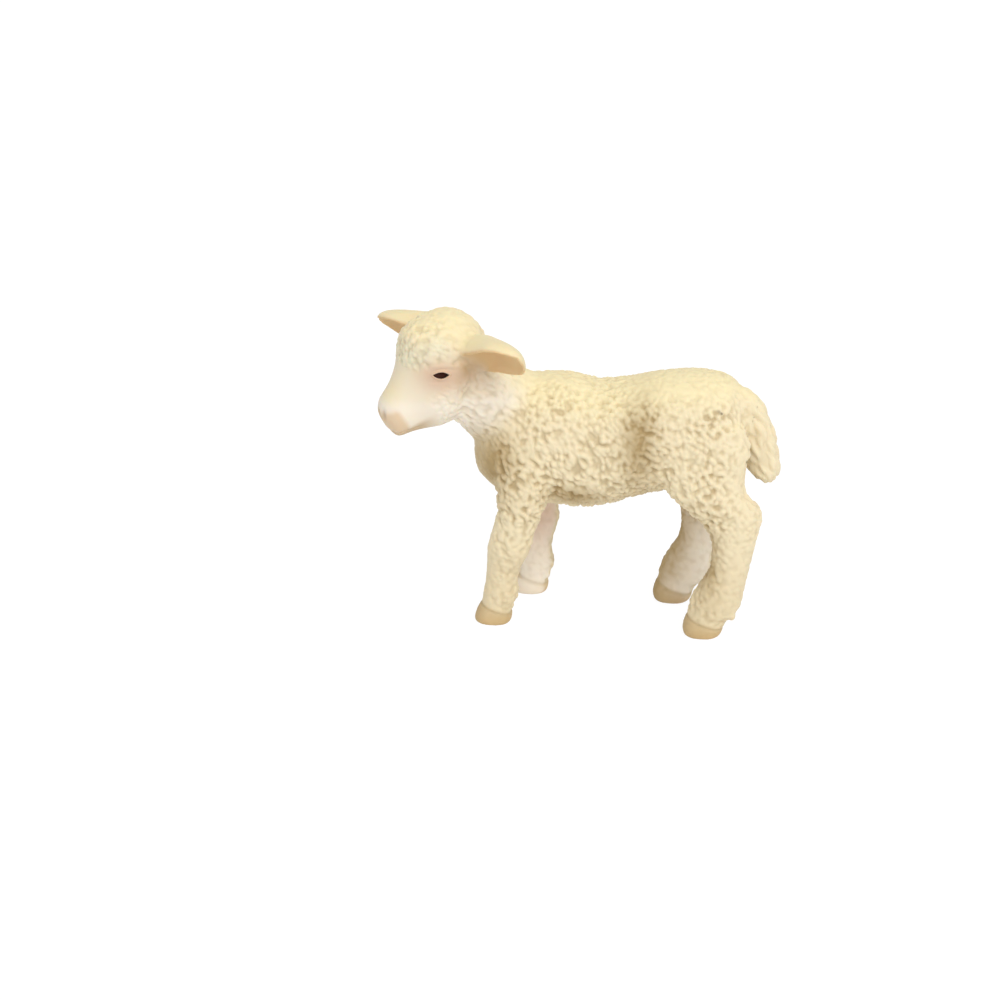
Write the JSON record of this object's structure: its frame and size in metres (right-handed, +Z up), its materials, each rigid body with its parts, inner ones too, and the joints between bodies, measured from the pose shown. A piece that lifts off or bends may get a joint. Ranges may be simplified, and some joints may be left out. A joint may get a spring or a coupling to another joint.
{
  "type": "toy farm animal figure",
  "caption": "Toy lamb that stands on cloven hooves, with curled wool, cupped ears, a hanging tail and its head turned to its left.",
  "frame": {"origin": "middle of the figure's bounding box, on the plane that its soles stand on", "axes": "+Z up; +X from the nose to the tail; +Y to the lamb's right side"},
  "size_m": [0.0476, 0.019, 0.0381],
  "materials": {
    "wool_vinyl": "cream vinyl moulded with wool curls, hand painted, with a soft matte sheen and warm shading in the hollows",
    "face_vinyl": "smooth pale cream vinyl, hand painted, with a pink blush at the eyes, nostrils and mouth",
    "ear_vinyl": "smooth warm cream vinyl with a tan shade in the hollow"
  },
  "bodies": {
    "root": {"torso": "wool_vinyl", "head": "face_vinyl", "ear_left": "ear_vinyl", "ear_right": "ear_vinyl", "tail": "wool_vinyl", "front_leg_left": "wool_vinyl", "front_leg_right": "wool_vinyl", "hind_leg_left": "wool_vinyl", "hind_leg_right": "wool_vinyl"}
  },
  "joints": []
}
